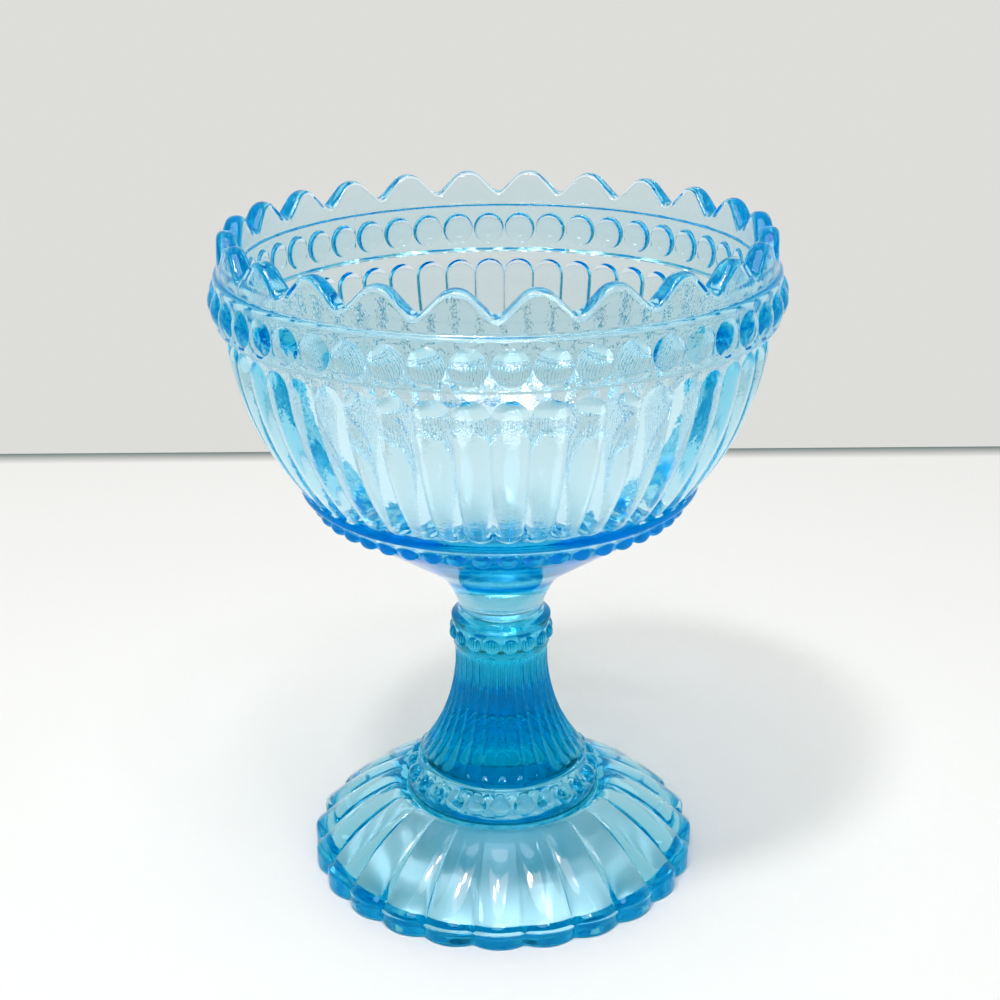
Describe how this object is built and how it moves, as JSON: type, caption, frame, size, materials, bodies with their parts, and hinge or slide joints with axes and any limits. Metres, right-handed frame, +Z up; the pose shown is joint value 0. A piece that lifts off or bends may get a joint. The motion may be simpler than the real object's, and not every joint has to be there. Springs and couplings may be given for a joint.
{
  "type": "footed glass bowl",
  "caption": "Footed pressed-glass bowl in aqua glass, with a scalloped rim, beaded band, fluted sides, beaded knop, ribbed flaring stem and petal foot.",
  "frame": {"origin": "centre of the resting face on the table plane, on the glass's axis", "axes": "+Z up along the axis of symmetry, from the foot to the rim; a valley of the scalloped rim faces -Y, the viewing side"},
  "size_m": [0.1262, 0.1262, 0.155],
  "materials": {
    "bowl_glass": "fire-polished clear aqua-blue pressed glass",
    "wafer_glass": "fire-polished clear aqua-blue pressed glass",
    "knop_glass": "fire-polished clear aqua-blue pressed glass",
    "stem_glass": "fire-polished clear aqua-blue pressed glass, deep blue where it is thick",
    "collar_glass": "fire-polished clear aqua-blue pressed glass",
    "foot_glass": "fire-polished clear aqua-blue pressed glass, deep blue at the thick rim"
  },
  "bodies": {
    "root": {"bowl": "bowl_glass", "wafer": "wafer_glass", "knop": "knop_glass", "stem": "stem_glass", "foot_collar": "collar_glass", "foot": "foot_glass"}
  },
  "joints": []
}
